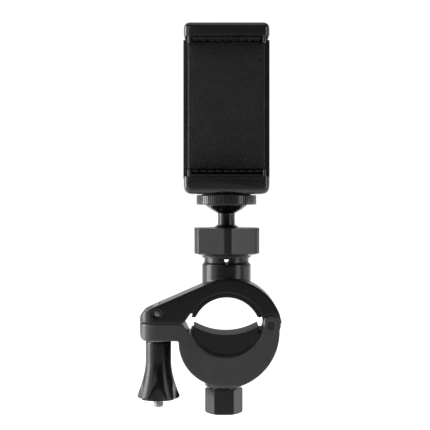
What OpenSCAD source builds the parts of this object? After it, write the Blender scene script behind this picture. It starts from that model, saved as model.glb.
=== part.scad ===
// Handlebar mount for a phone: a hinged ring clamp with a swing bolt, a locking
// ball joint and a sprung phone clip.
// The handlebar runs along Y through the origin, the phone faces -Y, and Z is up.

/* [Clamp] */
// Radius of both half bores in the clamp arms
bore_r = 17.2; // [16.5:0.1:17.6]
// Width of the clamp along the handlebar
clamp_w = 24; // [20:1:28]
// Height of the lower bore's centre when the clamp is shut
lower_bore_z = 5.7; // [5:0.1:6]
// Outer radius of the upper arm
upper_r = 24.6; // [24:0.1:25]
// Thickness of the upper rubber pad
pad_t = 1.8; // [1:0.1:2.4]
// Radius of the hollow in the saddle pad
saddle_r = 28.8; // [24:0.2:34]

/* [Swing bolt] */
// Radius of the bolt's thread
bolt_r = 2.4; // [2:0.1:2.5]
// Height at which the bolt ends, below the handlebar's centre
bolt_end_z = -35.8; // [-38:0.2:-34]
// Radius of the knob's neck
knob_r = 5.9; // [5.5:0.1:6.2]
// Radius of the knob's flared foot
knob_foot_r = 9.9; // [9:0.1:10.5]

/* [Ball joint] */
// Radius of the ball
ball_r = 8.5; // [8.3:0.1:8.6]
// Height of the ball's centre
ball_z = 40.5; // [40.3:0.1:40.6]
// Radius of the clamp's neck
neck_r = 11.2; // [10.9:0.1:11.6]
// Width across the lock nut's flats
nut_flats = 29.4; // [28:0.2:31]
// Radius of the knurled disc
disc_r = 13.7; // [12:0.1:15]

/* [Phone clip] */
// Width of the clip's jaws
jaw_w = 38.6; // [37.8:0.2:39.4]
// Depth of the jaws, front to back
jaw_d = 24; // [23:0.5:26]
// Height of the clip's underside
clip_z = 62; // [62:0.1:62.2]
// Height of the upper jaw's underside
jaw_top_z = 133.2; // [133.2:0.1:134]
// Thickness of the front grip pad
front_pad_t = 1.2; // [0.8:0.1:1.3]

/* [Hidden] */
$fn = 96;
eps = 0.01;
run = 0.06;

clamp_h = clamp_w / 2;
rubber_h = clamp_h - 0.5;
part_z = 3.5;
part_gap = 0.1;
mouth_x = -20.2;
liner_t = 1.2;

hinge_x = 20.15;
hinge_z = 2.93;
knuckle_r = 4.3;
knuckle_cut_r = 4.6;
knuckle_y = 4.6;
knuckle_gap = 0.2;
hinge_pin_r = 1.5;
hinge_pin_h = 11.7;

bolt_x = -31.3;
pivot_z = 8.1;
pivot_pin_r = 1.5;
pivot_pin_h = 11.2;
eye_r = 3.5;
eye_h = 2.5;
slot_h = 3;
lug_left = -39.6;
lug_bottom = -4.3;
lug_w = 21;
lug_low_r = 3;
lug_front_r = 7.5;
seat_r = pivot_z - lug_bottom;
seat_h = 6.4;

washer_r = 5.5;
washer_t = 0.9;
washer_top = lug_bottom - 0.1;
knob_top = washer_top - washer_t;
knob_bottom = -31.9;
knob_rim = 1.2;
knob_lobes = 5;

post_x = -1.2;
boss_r = 8.7;
boss_bottom = -26;
lower_flat_z = -24.6;
hex_top = -26.9;
hex_bottom = -38.2;
hex_r = 8.75;
post_spigot_r = 5;
post_spigot_top = -17;
insert_wall_r = 4.4;
insert_l = 10;
quarter_r = 3.175;

neck_top = 31;
collet_r = 10.3;
collet_top = 43;
collet_slot = 2.1;
nut_bottom = 33;
nut_top = 46.6;
nut_turn = 2;
ring_r = 9;
ring_bottom = 43.3;
ring_top = 45.4;
mouth_r = 7.4;

stem_r = 3.9;
flange_z = 53.3;
flange_r = 9.4;
disc_bottom = 57.2;
disc_top = 61.6;
disc_washer_r = 11.2;
knurls = 72;
stud_top = 68.4;

body_w = 39.7;
body_top = 133;
body_back = 9.6;
wall = 1.6;
jaw_front = -13;
jaw_back = jaw_front + jaw_d;
jaw_face_z = 70;
jaw_low_r = 4;
jaw_high_r = 3.6;
jaw_top = 139.5;
lip_w = 1.3;
lip_x = 16.3;
lip_h = 3;
front_gap = -1.5;
cavity_h = 17.8;
cavity_floor = 72;
clip_insert_r = 5;
clip_insert_top = clip_z + 7.2;
cover_t = 1.4;
slide_h = 13;
slide_y0 = 3;
slide_y1 = 7;
slide_bottom = 74;
rib_x = 12;
rib_h = 0.6;
rib_top = 131;
spring_x = 7.5;
spring_y = 5;
spring_slot = 3;
spring_slot_top = 110;
spring_pin_r = 0.75;
body_pin_h = 2.4;
slider_pin_h = 4.2;
low_pin_z = 77;
high_pin_z = 107;
screw_x = 15.5;
screw_low = 77;
screw_high = 127;
screw_r = 1.1;
boss_screw_r = 2.1;

// ---- helpers ----

// An outline in X and Z, carried along Y
module along_y(y0, y1) {
    translate([0, y1, 0])
        rotate([90, 0, 0])
            linear_extrude(y1 - y0) children();
}

// A round bar along Y
module bar_y(x, z, r, y0, y1) {
    translate([x, y1, z])
        rotate([90, 0, 0])
            cylinder(r = r, h = y1 - y0);
}

// A round bar along Z
module bar_z(x, y, r, z0, z1) {
    translate([x, y, z0])
        cylinder(r = r, h = z1 - z0);
}

// A spring's pin along X, at a height on the springs' plane
module pin(x, z, half) {
    translate([x, spring_y, z])
        rotate([0, 90, 0])
            cylinder(r = spring_pin_r, h = 2 * half, center = true);
}

// A box from its lowest and highest corners
module block(low, high) {
    translate(low)
        cube(high - low);
}

// A rectangle with a radius on its lower corners and another on its upper ones
module soft_rect(x0, x1, z0, z1, low_r, high_r) {
    difference() {
        translate([x0, z0])
            square([x1 - x0, z1 - z0]);
        if (low_r > 0) {
            corner(x0, z0, low_r, 0);
            corner(x1, z0, low_r, 90);
        }
        if (high_r > 0) {
            corner(x1, z1, high_r, 180);
            corner(x0, z1, high_r, 270);
        }
    }
}

// What a corner radius takes away
module corner(x, z, r, turn) {
    translate([x, z])
        rotate(turn)
            difference() {
                translate([-1, -1])
                    square(r + 1);
                translate([r, r])
                    circle(r);
            }
}

// The plan of the clamp's arms, with its left corners rounded
module arm_plan(z0, z1) {
    translate([0, 0, z0])
        linear_extrude(z1 - z0)
            intersection() {
                translate([lug_left, -clamp_h])
                    square([70, clamp_w]);
                union() {
                    translate([lug_left + lug_front_r, -clamp_h])
                        square([70, clamp_w]);
                    translate([lug_left, -clamp_h + lug_front_r])
                        square([70, clamp_w - 2 * lug_front_r]);
                    for (side = [-1, 1])
                        translate([lug_left + lug_front_r, side * (clamp_h - lug_front_r)])
                            circle(lug_front_r);
                }
            }
}

// ---- clamp ----

module upper_outline() {
    arc_x = 1;
    arc_z = -1;
    nose_x = -34.6;
    nose_z = 4.9;
    nose_r = 5;
    reach = [nose_x - arc_x, nose_z - arc_z];
    slope = atan2(reach[1], reach[0]) - acos((upper_r - nose_r) / norm(reach));
    tangent = [cos(slope), sin(slope)];
    difference() {
        union() {
            translate([arc_x, arc_z])
                circle(upper_r, $fn = 160);
            translate([nose_x, nose_z])
                circle(nose_r);
            polygon([
                [arc_x, arc_z] + upper_r * tangent,
                [nose_x, nose_z] + nose_r * tangent,
                [nose_x - nose_r, nose_z],
                [nose_x - nose_r, part_z],
                [arc_x, part_z],
                [arc_x, arc_z + upper_r * tangent[1]],
            ]);
        }
        translate([-60, part_z - 60])
            square([60, 60]);
        translate([-1, hinge_z - 60])
            square([60, 60]);
        circle(bore_r, $fn = 160);
        polygon([
            [mouth_x + 4.3, part_z + 5.2], [mouth_x + 1.3, part_z + 1],
            [mouth_x, part_z - eps], [mouth_x + 8.2, part_z - eps],
        ]);
    }
}

module lower_outline() {
    right_x = -2;
    right_r = 25.9;
    left_x = -1.5;
    left_z = -4.6;
    left_r = 20.2;
    join_x = -1.7;
    difference() {
        union() {
            intersection() {
                translate([right_x, 0])
                    circle(right_r, $fn = 160);
                translate([join_x, -40])
                    square([40, 40 + hinge_z]);
            }
            intersection() {
                translate([left_x, left_z])
                    circle(left_r, $fn = 160);
                translate([-40, -40])
                    square([40 + join_x + eps, 80]);
            }
            difference() {
                translate([lug_left, lug_bottom])
                    square([lug_w, part_z - part_gap - lug_bottom]);
                corner(lug_left, lug_bottom, lug_low_r, 0);
            }
        }
        translate([-60, part_z - part_gap])
            square([60, 60]);
        translate([0, lower_bore_z])
            circle(bore_r, $fn = 160);
        polygon([
            [mouth_x, part_z], [mouth_x + 1.5, part_z - 1.5],
            [mouth_x + 3.2, part_z - 4.9], [mouth_x + 8.2, part_z],
        ]);
    }
}

// The neck's outer shape with its chamfered shoulder, and the split collet above it
module neck() {
    chamfer = 1.1;
    foot = 18;
    rotate_extrude($fn = 128)
        polygon([
            [0, foot], [neck_r, foot], [neck_r, neck_top - chamfer], [neck_r - chamfer, neck_top],
            [collet_r, neck_top], [collet_r, collet_top - 1], [collet_r - 1, collet_top],
            [0, collet_top],
        ]);
}

module clamp_upper_arm() {
    slot_end_z = neck_top + 0.3;
    relief_r = 4.5;
    relief_z = 29.6;
    entry_r = 8.2;
    hole_r = pivot_pin_r + 0.3;
    color([0.07, 0.07, 0.075])
        difference() {
            union() {
                intersection() {
                    along_y(-clamp_h, clamp_h) upper_outline();
                    arm_plan(-10, 40);
                }
                neck();
                bar_y(hinge_x, hinge_z, knuckle_r, -knuckle_y + knuckle_gap,
                    knuckle_y - knuckle_gap);
            }
            for (y = [-clamp_h - 1, knuckle_y])
                bar_y(hinge_x, hinge_z, knuckle_cut_r, y, y + clamp_h + 1 - knuckle_y);
            for (y = [-clamp_h - 1, knuckle_y])
                block([hinge_x, y, hinge_z - 1],
                    [hinge_x + 9, y + clamp_h + 1 - knuckle_y, hinge_z + 4]);
            bar_y(0, 0, bore_r, -clamp_h - 1, clamp_h + 1, $fn = 160);
            bar_y(hinge_x, hinge_z, hinge_pin_r + run, -clamp_h, clamp_h);
            translate([0, 0, ball_z])
                sphere(ball_r + run);
            bar_z(0, 0, relief_r, relief_z, ball_z);
            bar_z(0, 0, entry_r, ball_z, collet_top + 1);
            for (turn = [0, 90])
                rotate(turn) {
                    bar_y(0, slot_end_z, collet_slot / 2, -15, 15);
                    block([-collet_slot / 2, -15, slot_end_z],
                        [collet_slot / 2, 15, collet_top + 1]);
                }
            block([lug_left - 1, -slot_h, part_z - 1], [bolt_x, slot_h, 16]);
            bar_y(bolt_x, pivot_z, eye_r + 0.4, -slot_h, slot_h);
            block([bolt_x - eps, -slot_h, part_z - 1], [bolt_x + eye_r, slot_h, pivot_z]);
            bar_y(bolt_x, pivot_z, pivot_pin_r, -pivot_pin_h, pivot_pin_h);
            bar_y(bolt_x, pivot_z, hole_r, -clamp_h - 1, -pivot_pin_h);
            bar_y(bolt_x, pivot_z, hole_r, pivot_pin_h, clamp_h + 1);
        }
}

module upper_grip_pad() {
    pad_bottom = 6.5;
    color([0.1, 0.1, 0.1])
        intersection() {
            difference() {
                bar_y(0, 0, bore_r, -rubber_h, rubber_h, $fn = 160);
                bar_y(0, 0, bore_r - pad_t, -clamp_h, clamp_h, $fn = 160);
            }
            block([-bore_r, -clamp_h, pad_bottom], [bore_r, clamp_h, bore_r + 1]);
        }
}

module bolt_pivot_pin() {
    color([0.75, 0.75, 0.77])
        bar_y(bolt_x, pivot_z, pivot_pin_r, -pivot_pin_h, pivot_pin_h);
}

module clamp_lower_arm() {
    recess = 0.6;
    color([0.09, 0.09, 0.095])
        difference() {
            union() {
                intersection() {
                    along_y(-clamp_h, clamp_h) lower_outline();
                    arm_plan(lower_flat_z, 20);
                }
                bar_z(post_x, 0, boss_r, boss_bottom, -18);
                difference() {
                    bar_y(hinge_x, hinge_z, knuckle_r, -clamp_h, clamp_h);
                    bar_y(0, lower_bore_z, bore_r, -clamp_h - 1, clamp_h + 1, $fn = 160);
                }
            }
            bar_y(hinge_x, hinge_z, knuckle_cut_r, -knuckle_y, knuckle_y);
            block([hinge_x - 8, -knuckle_y, hinge_z - 1], [hinge_x, knuckle_y, hinge_z + 6]);
            bar_y(hinge_x, hinge_z, hinge_pin_r, -hinge_pin_h, hinge_pin_h);
            for (y = [-clamp_h - 1, clamp_h - recess])
                bar_y(hinge_x, hinge_z, hinge_pin_r + 0.5, y, y + recess + 1);
            bar_z(post_x, 0, post_spigot_r, boss_bottom - 1, post_spigot_top);
            bar_z(bolt_x, 0, slot_h, lug_bottom - 1, part_z + 1);
            block([lug_left - 1, -slot_h, lug_bottom - 1], [bolt_x, slot_h, part_z + 1]);
            difference() {
                block([lug_left - 1, -seat_h, lug_bottom - 1], [bolt_x, seat_h, pivot_z]);
                bar_y(bolt_x, pivot_z, seat_r, -seat_h - 1, seat_h + 1);
            }
        }
}

module hinge_pin() {
    color([0.3, 0.3, 0.31])
        bar_y(hinge_x, hinge_z, hinge_pin_r, -hinge_pin_h, hinge_pin_h);
}

module lower_grip_liner() {
    liner_top = 0.45;
    color([0.05, 0.05, 0.05])
        intersection() {
            difference() {
                bar_y(0, lower_bore_z, bore_r, -rubber_h, rubber_h, $fn = 160);
                bar_y(0, lower_bore_z, bore_r - liner_t, -clamp_h, clamp_h, $fn = 160);
            }
            block([-bore_r, -clamp_h, -bore_r], [bore_r, clamp_h, liner_top]);
        }
}

module saddle_pad() {
    middle = -0.3;
    half_w = 14.7;
    top = 3;
    dip = -1.5;
    color([0.11, 0.11, 0.11])
        intersection() {
            difference() {
                bar_y(0, lower_bore_z, bore_r - liner_t, -rubber_h, rubber_h, $fn = 160);
                bar_y(middle, saddle_r + dip, saddle_r, -clamp_h, clamp_h, $fn = 200);
            }
            block([middle - half_w, -clamp_h, -bore_r], [middle + half_w, clamp_h, top]);
        }
}

module hex_post() {
    bevel = 0.9;
    color([0.09, 0.09, 0.095])
        translate([post_x, 0, 0])
            difference() {
                union() {
                    intersection() {
                        translate([0, 0, hex_bottom])
                            cylinder(r = hex_r, h = hex_top - hex_bottom, $fn = 6);
                        rotate_extrude()
                            polygon([
                                [0, hex_bottom], [hex_r - bevel, hex_bottom],
                                [hex_r, hex_bottom + bevel], [hex_r, hex_top - 0.4],
                                [hex_r - 0.4, hex_top], [0, hex_top],
                            ]);
                    }
                    bar_z(0, 0, boss_r - 1.2, hex_top - eps, boss_bottom);
                    bar_z(0, 0, post_spigot_r, hex_top - eps, post_spigot_top);
                }
                bar_z(0, 0, insert_wall_r, hex_bottom - 1, hex_bottom + insert_l);
            }
}

module post_thread_insert() {
    bore_l = 8.4;
    end_gap = 0.4;
    color([0.7, 0.58, 0.3])
        translate([post_x, 0, 0])
            difference() {
                bar_z(0, 0, insert_wall_r, hex_bottom, hex_bottom + insert_l - end_gap);
                bar_z(0, 0, quarter_r, hex_bottom - 1, hex_bottom + bore_l);
            }
}

// ---- swing bolt and knob ----

module swing_bolt() {
    bevel = 0.5;
    color([0.72, 0.72, 0.74])
        difference() {
            union() {
                bar_y(bolt_x, pivot_z, eye_r, -eye_h, eye_h);
                bar_z(bolt_x, 0, bolt_r, bolt_end_z + bevel, pivot_z - 1);
                translate([bolt_x, 0, bolt_end_z])
                    cylinder(r1 = bolt_r - bevel, r2 = bolt_r, h = bevel);
            }
            bar_y(bolt_x, pivot_z, pivot_pin_r + run, -eye_h - 1, eye_h + 1);
        }
}

module knob_washer() {
    color([0.72, 0.72, 0.74])
        difference() {
            bar_z(bolt_x, 0, washer_r, knob_top, washer_top);
            bar_z(bolt_x, 0, bolt_r + 0.1, knob_top - 1, washer_top + 1);
        }
}

// The knob: a plain neck that flares to a lobed foot
module knob() {
    flare_top = -14.5;
    steps = 12;
    flute_r = 4.3;
    flute_out = 11;
    curve = 1.7;
    rim_top = knob_bottom + knob_rim;
    rise = flare_top - rim_top;
    color([0.06, 0.06, 0.065])
        translate([bolt_x, 0, 0])
            difference() {
                rotate_extrude()
                    polygon(concat(
                        [[0, knob_bottom], [knob_foot_r - knob_rim, knob_bottom],
                            [knob_foot_r, rim_top]],
                        [for (i = [1:steps])
                            let (t = i / steps)
                            [knob_foot_r - (knob_foot_r - knob_r) * (1 - pow(1 - t, curve)),
                                rim_top + rise * t]],
                        [[knob_r, knob_top], [0, knob_top]]
                    ));
                bar_z(0, 0, insert_wall_r, knob_top - insert_l, knob_top + 1);
                bar_z(0, 0, bolt_r + 0.2, knob_bottom - 1, knob_top + 1);
                for (i = [0:knob_lobes - 1])
                    rotate(i * 360 / knob_lobes - 90)
                        bar_z(flute_out, 0, flute_r, knob_bottom - 1, flare_top);
            }
}

module knob_insert() {
    color([0.7, 0.58, 0.3])
        difference() {
            bar_z(bolt_x, 0, insert_wall_r, knob_top - insert_l, knob_top);
            bar_z(bolt_x, 0, bolt_r + run, knob_top - insert_l - 1, knob_top + 1);
        }
}

// ---- ball joint ----

// A hexagon with cut corners, a cone under it and a stepped bore through it
module lock_nut() {
    corner_r = 16.2;
    cone_top = 35.2;
    foot_r = 11.2;
    foot_t = 0.8;
    bevel = 0.7;
    color([0.08, 0.08, 0.085])
        difference() {
            intersection() {
                rotate(nut_turn - 90)
                    translate([0, 0, nut_bottom])
                        cylinder(r = nut_flats / sqrt(3), h = nut_top - nut_bottom, $fn = 6);
                rotate_extrude($fn = 128)
                    polygon([
                        [0, nut_bottom], [foot_r, nut_bottom],
                        [foot_r, nut_bottom + foot_t], [corner_r, cone_top],
                        [corner_r, nut_top - bevel], [corner_r - bevel, nut_top], [0, nut_top],
                    ]);
            }
            bar_z(0, 0, collet_r + run, nut_bottom - 1, ring_bottom - 0.2);
            bar_z(0, 0, ring_r + 0.1, ring_bottom - 0.3, ring_top + 0.1);
            bar_z(0, 0, mouth_r, ring_top, nut_top + 1);
            translate([0, 0, nut_top - bevel])
                cylinder(r1 = mouth_r, r2 = mouth_r + bevel, h = bevel + eps);
        }
}

module ball_retainer_ring() {
    inner_r = 7;
    color([0.6, 0.6, 0.58])
        difference() {
            bar_z(0, 0, ring_r, ring_bottom, ring_top);
            translate([0, 0, ball_z])
                sphere(ball_r + run);
            bar_z(0, 0, inner_r, ring_bottom - 1, ring_top + 1);
        }
}

module ball_stem() {
    stud_hole = 48.9;
    color([0.07, 0.07, 0.075])
        difference() {
            union() {
                translate([0, 0, ball_z])
                    sphere(ball_r);
                bar_z(0, 0, stem_r, ball_z + ball_r - 2, flange_z + 1);
                rotate_extrude()
                    polygon([
                        [0, disc_bottom], [flange_r, disc_bottom], [flange_r, disc_bottom - 0.4],
                        [stem_r, flange_z], [0, flange_z],
                    ]);
            }
            bar_z(0, 0, quarter_r, stud_hole, disc_bottom + 1);
        }
}

module mounting_stud() {
    bottom = 49;
    bevel = 0.6;
    color([0.72, 0.72, 0.74])
        union() {
            bar_z(0, 0, quarter_r, bottom, stud_top - bevel);
            translate([0, 0, stud_top - bevel])
                cylinder(r1 = quarter_r, r2 = quarter_r - bevel, h = bevel);
        }
}

module knurled_disc() {
    depth = 0.35;
    color([0.09, 0.09, 0.095])
        difference() {
            translate([0, 0, disc_bottom])
                linear_extrude(disc_top - disc_bottom)
                    polygon([for (i = [0:2 * knurls - 1])
                        let (r = disc_r - (i % 2) * depth, a = i * 180 / knurls)
                        [r * cos(a), r * sin(a)]]);
            bar_z(0, 0, quarter_r, disc_bottom - 1, disc_top + 1);
        }
}

module disc_washer() {
    color([0.05, 0.05, 0.05])
        difference() {
            bar_z(0, 0, disc_washer_r, disc_top, clip_z);
            bar_z(0, 0, quarter_r + 0.1, disc_top - 1, clip_z + 1);
        }
}

// ---- phone clip ----

// The two raised lips that close the ends of a jaw's rubber strip
module jaw_lips(z0, z1) {
    for (side = [-1, 1]) {
        x = side * (lip_x + lip_w / 2);
        block([x - lip_w / 2, jaw_front + 0.4, z0], [x + lip_w / 2, front_gap, z1]);
    }
}

module clip_body() {
    ear_x = 2;
    ear_h = 0.4;
    ear_top = low_pin_z + 2.4;
    color([0.05, 0.05, 0.055])
        difference() {
            union() {
                along_y(jaw_front, jaw_back)
                    soft_rect(-jaw_w / 2, jaw_w / 2, clip_z, jaw_face_z, jaw_low_r, 0);
                difference() {
                    block([-body_w / 2, 0, jaw_face_z - 1], [body_w / 2, body_back, body_top]);
                    block([-cavity_h, wall, cavity_floor], [cavity_h, body_back + 1, body_top + 1]);
                }
                jaw_lips(jaw_face_z - eps, jaw_face_z + lip_h);
                for (side = [-1, 1]) {
                    block([side * rib_x - rib_h, wall - eps, cavity_floor - eps],
                        [side * rib_x + rib_h, slide_y0 - 0.1, rib_top]);
                    for (edge = [-1, 1]) {
                        x = side * spring_x + edge * ear_x;
                        block([x - ear_h, wall - eps, cavity_floor - eps],
                            [x + ear_h, slide_y1, ear_top]);
                    }
                    for (z = [screw_low, screw_high])
                        bar_y(side * screw_x, z, boss_screw_r, wall - eps, body_back);
                }
            }
            bar_z(0, 0, clip_insert_r, clip_z - 1, clip_insert_top);
            for (side = [-1, 1]) {
                for (z = [screw_low, screw_high])
                    bar_y(side * screw_x, z, screw_r, wall + 1, body_back + 1);
                pin(side * spring_x, low_pin_z, ear_x + ear_h + 0.1);
            }
        }
}

module clip_thread_insert() {
    color([0.7, 0.58, 0.3])
        difference() {
            bar_z(0, 0, clip_insert_r, clip_z, clip_insert_top);
            bar_z(0, 0, quarter_r + run, clip_z - 1, clip_insert_top - 0.4);
        }
}

module front_pad() {
    pad_h = 17.8;
    low_gap = lip_h + 0.2;
    top_gap = 0.6;
    corner_r = 1.2;
    color([0.12, 0.12, 0.12])
        along_y(-front_pad_t, 0)
            soft_rect(-pad_h, pad_h, jaw_face_z + low_gap, jaw_top_z - top_gap, corner_r, corner_r);
}

// A rubber strip of some height, with rounded ribs that run front to back above its base
module jaw_pad(base_z, away, height, base_t) {
    ribs = 9;
    pitch = 3.5;
    rib_r = 1.3;
    front = jaw_front + 0.6;
    face_z = base_z + away * base_t;
    rib_z = base_z + away * (height - rib_r);
    color([0.1, 0.1, 0.1])
        intersection() {
            union() {
                block([-lip_x, front, min(base_z, face_z)],
                    [lip_x, front_gap, max(base_z, face_z)]);
                for (i = [0:ribs - 1])
                    bar_y((i - (ribs - 1) / 2) * pitch, rib_z, rib_r, front, front_gap);
            }
            block([-lip_x, front, base_z - (away < 0 ? 5 : 0)],
                [lip_x, front_gap, base_z + (away > 0 ? 5 : 0)]);
        }
}

module lower_jaw_pad() {
    jaw_pad(jaw_face_z, 1, 2.8, 1.5);
}

module upper_jaw_pad() {
    jaw_pad(jaw_top_z, -1, 1.1, 0.5);
}

module clip_back_cover() {
    corner_r = 2;
    color([0.06, 0.06, 0.065])
        difference() {
            union() {
                along_y(body_back, body_back + cover_t)
                    soft_rect(-body_w / 2, body_w / 2, jaw_face_z + 0.1, body_top, 0, corner_r);
                for (side = [-1, 1])
                    block([side * rib_x - rib_h, slide_y1 + 0.1, slide_bottom],
                        [side * rib_x + rib_h, body_back + eps, rib_top]);
            }
            for (side = [-1, 1])
                for (z = [screw_low, screw_high])
                    bar_y(side * screw_x, z, screw_r + 0.2, body_back - 1, body_back + 3);
        }
}

module cover_screws() {
    head_r = 2;
    head_t = 0.9;
    slot = [2.4, 1, 0.5];
    under_head = body_back + cover_t;
    color([0.3, 0.3, 0.31])
        for (side = [-1, 1])
            for (z = [screw_low, screw_high])
                difference() {
                    union() {
                        bar_y(side * screw_x, z, screw_r, wall + 1.4, under_head + eps);
                        bar_y(side * screw_x, z, head_r, under_head, under_head + head_t);
                    }
                    for (turn = [0, 90])
                        translate([side * screw_x, under_head + head_t, z])
                            rotate([0, turn, 0])
                                cube(slot, center = true);
                }
}

// A pair of pins along X, one through the end of each spring
module spring_pins(z, half) {
    color([0.72, 0.72, 0.74])
        for (side = [-1, 1])
            pin(side * spring_x, z, half);
}

module body_spring_pins() {
    spring_pins(low_pin_z, body_pin_h);
}

module slider_spring_pins() {
    spring_pins(high_pin_z, slider_pin_h);
}

// A close-wound tension spring: a helix with a ring at each end
module tension_spring(x) {
    coil_r = 1.75;
    wire_r = 0.35;
    ring_mid = 1.25;
    z0 = low_pin_z + 3;
    z1 = high_pin_z - 3;
    turns = 16;
    per_turn = 10;
    sides = 6;
    count = turns * per_turn;
    points = [for (i = [0:count], j = [0:sides - 1])
        let (a = i * 360 / per_turn, b = j * 360 / sides, r = coil_r + wire_r * cos(b))
        [r * cos(a), r * sin(a), z0 + (z1 - z0) * i / count + wire_r * sin(b)]];
    skin = [for (i = [0:count - 1], j = [0:sides - 1])
        [i * sides + j, i * sides + (j + 1) % sides,
            (i + 1) * sides + (j + 1) % sides, (i + 1) * sides + j]];
    caps = [[for (j = [sides - 1:-1:0]) j], [for (j = [0:sides - 1]) count * sides + j]];
    color([0.75, 0.75, 0.77])
        translate([x, spring_y, 0])
            union() {
                polyhedron(points, concat(skin, caps));
                for (end = [[z0, low_pin_z, 1], [z1, high_pin_z, -1]]) {
                    translate([0, 0, end[0]])
                        rotate([0, 90, 0])
                            cylinder(r = wire_r, h = coil_r, $fn = 16);
                    bar_z(0, 0, wire_r, min(end[0], end[1] + end[2] * ring_mid),
                        max(end[0], end[1] + end[2] * ring_mid), $fn = 16);
                    translate([0, 0, end[1]])
                        rotate([0, 90, 0])
                            rotate_extrude($fn = 32)
                                translate([ring_mid, 0])
                                    circle(wire_r, $fn = 16);
                }
            }
}

module spring_left() {
    tension_spring(-spring_x);
}

module spring_right() {
    tension_spring(spring_x);
}

module clip_slider() {
    color([0.05, 0.05, 0.055])
        difference() {
            union() {
                along_y(jaw_front, jaw_back)
                    soft_rect(-jaw_w / 2, jaw_w / 2, jaw_top_z, jaw_top, 0, jaw_high_r);
                block([-slide_h, slide_y0, slide_bottom + 0.2],
                    [slide_h, slide_y1, jaw_top_z + eps]);
                jaw_lips(jaw_top_z - lip_h, jaw_top_z + eps);
            }
            for (side = [-1, 1]) {
                block([side * spring_x - spring_slot, slide_y0 - 1, slide_bottom - 1],
                    [side * spring_x + spring_slot, slide_y1 + 1, spring_slot_top]);
                pin(side * spring_x, high_pin_z, slider_pin_h);
            }
        }
}

clamp_upper_arm();
upper_grip_pad();
bolt_pivot_pin();
clamp_lower_arm();
hinge_pin();
lower_grip_liner();
saddle_pad();
hex_post();
post_thread_insert();
swing_bolt();
knob_washer();
knob();
knob_insert();
lock_nut();
ball_retainer_ring();
ball_stem();
mounting_stud();
knurled_disc();
disc_washer();
clip_body();
clip_thread_insert();
front_pad();
lower_jaw_pad();
clip_back_cover();
cover_screws();
body_spring_pins();
spring_left();
spring_right();
clip_slider();
upper_jaw_pad();
slider_spring_pins();
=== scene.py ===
import math

import bmesh
import bpy
import numpy as np
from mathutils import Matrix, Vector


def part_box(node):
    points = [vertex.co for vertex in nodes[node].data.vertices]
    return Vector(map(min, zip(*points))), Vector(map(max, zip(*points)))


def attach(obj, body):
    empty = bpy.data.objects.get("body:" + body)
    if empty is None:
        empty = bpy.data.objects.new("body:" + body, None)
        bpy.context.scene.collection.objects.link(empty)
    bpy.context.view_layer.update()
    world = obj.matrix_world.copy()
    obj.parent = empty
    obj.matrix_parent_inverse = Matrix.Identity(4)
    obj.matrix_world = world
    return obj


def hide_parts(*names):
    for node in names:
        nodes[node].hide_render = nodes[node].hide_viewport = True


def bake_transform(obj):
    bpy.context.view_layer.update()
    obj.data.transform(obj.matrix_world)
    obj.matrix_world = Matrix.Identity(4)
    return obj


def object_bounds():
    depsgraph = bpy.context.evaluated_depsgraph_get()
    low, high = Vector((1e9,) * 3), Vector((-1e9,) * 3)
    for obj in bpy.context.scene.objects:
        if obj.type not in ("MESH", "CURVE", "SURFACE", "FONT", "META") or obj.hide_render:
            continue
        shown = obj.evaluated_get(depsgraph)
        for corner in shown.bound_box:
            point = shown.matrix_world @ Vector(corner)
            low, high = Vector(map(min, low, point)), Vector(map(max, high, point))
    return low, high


mm = 0.001
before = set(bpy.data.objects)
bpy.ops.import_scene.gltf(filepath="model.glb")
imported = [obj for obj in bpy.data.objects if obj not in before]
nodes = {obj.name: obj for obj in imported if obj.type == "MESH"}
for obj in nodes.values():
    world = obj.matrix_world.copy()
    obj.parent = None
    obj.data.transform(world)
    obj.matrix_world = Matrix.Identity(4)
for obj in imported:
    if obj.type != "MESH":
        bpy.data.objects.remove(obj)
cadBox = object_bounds()
print("frame loaded:", len(nodes), "CAD nodes")


# The view, the light and the floor

view = {
    "away": 0.540,          # from the camera to the object, in metres
    "side": -0.00526,
    "eye": 0.05937,
    "across": 0.1978,       # what the picture spans at the object
    "drop": 0.034884,       # how far the picture is shifted down, as a share of its width
    "sensor": 36,
    "near": 0.01,
    "far": 50,
}
studio = {
    "floorBelow": 0.075,    # how far the floor lies under the object
    "floorHalf": 6.0,
    "floorColour": (0.86, 0.86, 0.87),
    "floorGlow": 1.0,
    "glowFrom": -0.25,      # where the floor's glow starts, front to back
    "glowTo": 0.25,         # and where it is full
    "behind": 0.65,         # brightness of the room behind the object
    "ahead": 0.02,          # and of the room that it faces
    "turnFrom": 0.05,       # where the room starts to brighten, front to back
    "turnTo": 0.75,         # and where it is full
    "seenWhite": 1.02,      # the room as the camera itself sees it
}
lights = [                  # name, place, size, power
    ("left", (-0.76, 0.02, 0.14), (0.40, 0.9), 8.0),
    ("leftFront", (-0.66, -0.40, 0.10), (0.30, 0.8), 0.85),
    ("rightFront", (0.66, -0.42, 0.10), (0.30, 0.8), 1.8),
    ("right", (0.80, 0.06, 0.12), (0.24, 0.8), 0.4),
    ("top", (-0.05, -0.10, 0.85), (0.8, 0.6), 0.9),
    ("front", (-0.45, -0.85, 0.45), (0.5, 0.5), 0.8),
]
lampTarget = (0, 0, 0.05)


def makeCamera():
    data = bpy.data.cameras.new("camera")
    data.sensor_width = view["sensor"]
    data.lens = view["sensor"] * view["away"] / view["across"]
    data.shift_y = -view["drop"]
    data.clip_start, data.clip_end = view["near"], view["far"]
    camera = bpy.data.objects.new("camera", data)
    camera.location = (view["side"], -view["away"], view["eye"])
    camera.rotation_euler = (math.pi / 2, 0, 0)
    bpy.context.scene.collection.objects.link(camera)
    bpy.context.scene.camera = camera


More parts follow.
